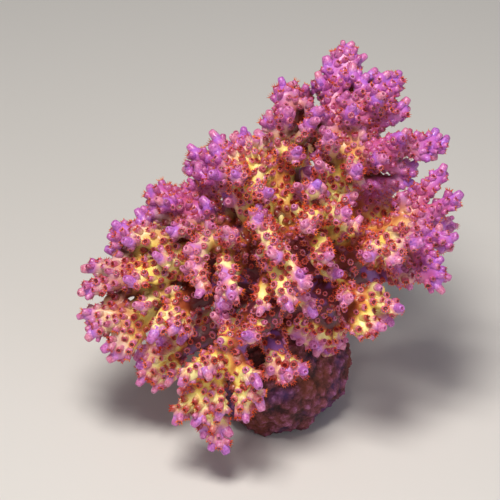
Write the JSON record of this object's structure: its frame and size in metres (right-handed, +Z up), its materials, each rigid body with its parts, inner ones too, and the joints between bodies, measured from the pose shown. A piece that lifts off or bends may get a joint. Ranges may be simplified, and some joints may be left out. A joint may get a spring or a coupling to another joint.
{
  "type": "finger coral colony",
  "caption": "Bushy finger coral colony of radiating tapered branches covered with small tubular cups, grown on the top of a rounded, flat-bottomed lump of reef rubble.",
  "frame": {"origin": "the centre of the stone's flat underside, on the surface that the stone rests on", "axes": "+Z points up out of the flat underside, +X points to the right and -Y to the front as the colony is first seen, where its lowest front branch hangs before the stone"},
  "size_m": [0.0891, 0.0752, 0.0791],
  "materials": {
    "coral": "cream-yellow skin between the cups that turns rose and lilac towards the finger tips, slightly wet sheen, covered with small tubular cups whose mouths are maroon with orange-red tentacles",
    "reef_rubble": "rough, pitted, matt maroon-purple coralline crust with pink and violet specks"
  },
  "bodies": {
    "root": {"stone": "reef_rubble", "trunk": "coral", "right_limb": "coral", "lower_right_limb": "coral", "upper_limb": "coral", "upper_right_branch": "coral", "top_right_branch": "coral", "top_branch": "coral", "top_left_limb": "coral", "upper_left_limb": "coral", "left_upper_limb": "coral", "left_limb": "coral", "left_top_branch": "coral", "left_lower_branch": "coral", "left_inner_branch": "coral", "low_left_branch": "coral", "front_left_limb": "coral", "front_left_spur": "coral", "low_front_branch": "coral", "front_limb": "coral", "front_left_upper_limb": "coral", "front_right_limb": "coral", "back_left_limb": "coral", "back_limb": "coral", "back_right_limb": "coral", "low_back_left_branch": "coral", "low_back_branch": "coral", "low_back_right_branch": "coral"}
  },
  "joints": []
}
